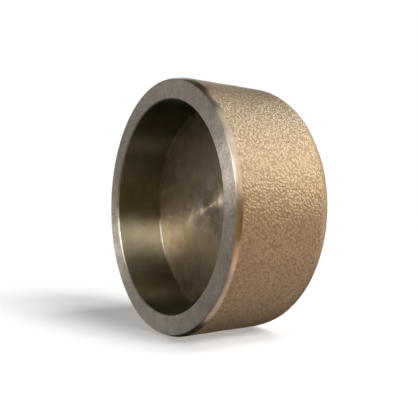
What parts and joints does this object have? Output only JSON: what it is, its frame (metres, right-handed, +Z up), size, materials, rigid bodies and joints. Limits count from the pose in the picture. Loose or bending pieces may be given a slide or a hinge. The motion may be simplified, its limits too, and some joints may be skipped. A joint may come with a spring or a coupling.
{
  "type": "pipe cap",
  "caption": "Round socket pipe cap: cast body with a machined mouth face, a chamfered rim, a smooth bored socket ending at a flat pipe stop, and a closed end with a rounded corner.",
  "frame": {"origin": "centre of the open mouth, in the plane of the mouth face", "axes": "+Y along the cap's axis from the open mouth to the closed end; +Z up with the cap lying on its side; +X to the right when looking into the mouth"},
  "size_m": [0.0726, 0.0324, 0.0726],
  "materials": {
    "bronze": "sand-cast grain outside, turned and smooth on the mouth face, rim chamfer and socket"
  },
  "bodies": {
    "root": {"cap_body": "bronze"}
  },
  "joints": []
}
